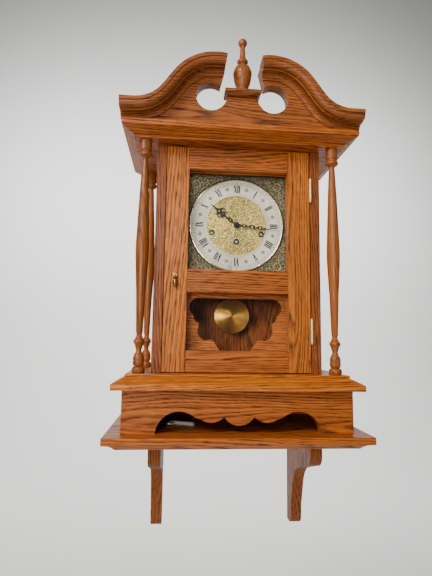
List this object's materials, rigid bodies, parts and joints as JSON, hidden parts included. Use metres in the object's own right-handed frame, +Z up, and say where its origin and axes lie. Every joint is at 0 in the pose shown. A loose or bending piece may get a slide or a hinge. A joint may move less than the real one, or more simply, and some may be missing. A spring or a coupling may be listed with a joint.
{
  "type": "pillared wall clock",
  "caption": "Oak pillared wall clock with swan-neck pediment, glazed door, chiming key-wound movement and pendulum, on its own bracketed wall shelf.",
  "frame": {"origin": "on the wall plane, midway between the two keyhole hangers in the corbels", "axes": "+X to the right seen from the front, +Y into the wall, +Z up"},
  "size_m": [0.435, 0.242, 0.9031],
  "materials": {
    "oak": "satin lacquer, open grain",
    "oak_turned": "satin lacquer, redder stain",
    "back_ply": "matt plywood",
    "glass": "clear, polished",
    "brass": "polished, lacquered",
    "brass_plate": "brushed",
    "spun_brass": "spun",
    "steel": "turned, oiled",
    "silvered": "silvered, fine spun",
    "gilt": "matted gilt",
    "dial_brass": "antique, darkened",
    "antique": "cast, antique dark",
    "black": "satin black",
    "iron": "painted casting",
    "nickel": "nickel plated"
  },
  "bodies": {
    "root": {"shelf_board": "oak", "corbel_right": "oak", "corbel_left": "oak", "base_apron": "oak", "base_frame": "oak", "base_board": "oak", "case_side_right": "oak", "case_side_left": "oak", "crown_board": "oak", "pediment_board": "oak", "swan_neck_right": "oak", "swan_neck_left": "oak", "plinth_cap": "oak", "dial_panel": "oak", "column_front_left": "oak_turned", "column_front_right": "oak_turned", "rear_columns": "oak_turned", "finial": "oak_turned", "back_panel": "back_ply", "hinge_leaves_case": "brass", "winding_grommets": "brass", "front_plate": "brass_plate", "back_plate": "brass_plate", "keyhole_hangers": "steel", "gong_rods": "steel", "chapter_ring": "silvered", "dial_centre": "gilt", "dial_plate": "dial_brass", "spandrels": "antique", "gong_block": "iron", "winding_key": "nickel"},
    "door": {"door_stile_left": "oak", "door_stile_right": "oak", "door_rail_bottom": "oak", "door_rail_middle": "oak", "door_rail_top": "oak", "door_glass": "glass", "glass_beads": "oak", "hinge_leaves_door": "brass", "pull_rosette": "brass"},
    "pull": {"pull_drop": "brass"},
    "minute_works": {"centre_arbor": "brass_plate", "minute_hand": "black"},
    "hour_works": {"hour_wheel": "brass_plate", "hour_hand": "black"},
    "minute_wheel": {"minute_wheel": "brass_plate"},
    "intermediate": {"intermediate_wheel": "brass_plate"},
    "going_barrel": {"going_barrel": "brass_plate"},
    "strike_barrel": {"strike_barrel": "brass_plate"},
    "chime_barrel": {"chime_barrel": "brass_plate"},
    "winding_strike": {"winding_arbor_strike": "steel"},
    "winding_going": {"winding_arbor_going": "steel"},
    "winding_chime": {"winding_arbor_chime": "steel"},
    "third": {"third_wheel": "brass_plate"},
    "escape": {"escape_wheel": "brass_plate"},
    "pallets": {"pallet_anchor": "steel"},
    "pendulum": {"pendulum_rod": "steel", "pendulum_bob": "spun_brass"},
    "rating_nut": {"rating_nut": "brass"},
    "hammers": {"hammers": "steel"}
  },
  "joints": [
    {"name": "door_hinge", "type": "hinge", "parent": "root", "child": "door", "pos_m": [0.13105, -0.1766, 0.35], "axis": [0, 0, 1], "range_deg": [0, 110]},
    {"name": "pull_swing", "type": "hinge", "parent": "door", "child": "pull", "pos_m": [-0.1112, -0.1786, 0.3165], "axis": [-1, 0, 0], "range_deg": [0, 75]},
    {"name": "minute_turn", "type": "hinge", "parent": "root", "child": "minute_works", "pos_m": [0, -0.13, 0.4171], "axis": [0, 1, 0], "continuous": true},
    {"name": "hour_turn", "type": "hinge", "parent": "root", "child": "hour_works", "pos_m": [0, -0.14, 0.4171], "axis": [0, 1, 0], "continuous": true},
    {"name": "minute_wheel_turn", "type": "hinge", "parent": "root", "child": "minute_wheel", "pos_m": [0.006, -0.132, 0.42749], "axis": [0, 1, 0], "continuous": true},
    {"name": "intermediate_turn", "type": "hinge", "parent": "root", "child": "intermediate", "pos_m": [0.01686, -0.1, 0.4036], "axis": [0, 1, 0], "continuous": true},
    {"name": "going_barrel_turn", "type": "hinge", "parent": "root", "child": "going_barrel", "pos_m": [0, -0.11, 0.3861], "axis": [0, 1, 0], "continuous": true},
    {"name": "strike_barrel_turn", "type": "hinge", "parent": "root", "child": "strike_barrel", "pos_m": [-0.0464, -0.11, 0.4017], "axis": [0, 1, 0], "continuous": true},
    {"name": "chime_barrel_turn", "type": "hinge", "parent": "root", "child": "chime_barrel", "pos_m": [0.0464, -0.11, 0.4017], "axis": [0, 1, 0], "continuous": true},
    {"name": "wind_strike", "type": "hinge", "parent": "root", "child": "winding_strike", "pos_m": [-0.0464, -0.13, 0.4017], "axis": [0, 1, 0], "continuous": true},
    {"name": "wind_going", "type": "hinge", "parent": "root", "child": "winding_going", "pos_m": [0, -0.13, 0.3861], "axis": [0, 1, 0], "continuous": true},
    {"name": "wind_chime", "type": "hinge", "parent": "root", "child": "winding_chime", "pos_m": [0.0464, -0.13, 0.4017], "axis": [0, 1, 0], "continuous": true},
    {"name": "third_turn", "type": "hinge", "parent": "root", "child": "third", "pos_m": [-0.01471, -0.11, 0.43181], "axis": [0, 1, 0], "continuous": true},
    {"name": "escape_turn", "type": "hinge", "parent": "root", "child": "escape", "pos_m": [0, -0.11, 0.4422], "axis": [0, 1, 0], "continuous": true},
    {"name": "pendulum_swing", "type": "hinge", "parent": "root", "child": "pendulum", "pos_m": [0, -0.078, 0.4591], "axis": [0, 1, 0], "range_deg": [-4, 4]},
    {"name": "pallet_swing", "type": "hinge", "parent": "root", "child": "pallets", "pos_m": [0, -0.1, 0.4591], "axis": [0, 1, 0], "range_deg": [-4, 4]},
    {"name": "rating_nut_turn", "type": "hinge", "parent": "pendulum", "child": "rating_nut", "pos_m": [0, -0.078, 0.2396], "axis": [0, 0, 1], "continuous": true},
    {"name": "hammer_lift", "type": "hinge", "parent": "root", "child": "hammers", "pos_m": [0, -0.066, 0.3671], "axis": [1, 0, 0], "range_deg": [0, 10], "stiffness_Nm_per_rad": 0.05}
  ],
  "couplings": [
    {"joint": "hour_turn", "follows": "minute_turn", "ratio": 0.083333},
    {"joint": "minute_wheel_turn", "follows": "minute_turn", "ratio": -0.33333},
    {"joint": "intermediate_turn", "follows": "minute_turn", "ratio": -0.25},
    {"joint": "going_barrel_turn", "follows": "minute_turn", "ratio": 0.03125},
    {"joint": "third_turn", "follows": "minute_turn", "ratio": -12},
    {"joint": "pallet_swing", "follows": "pendulum_swing", "ratio": 1}
  ]
}
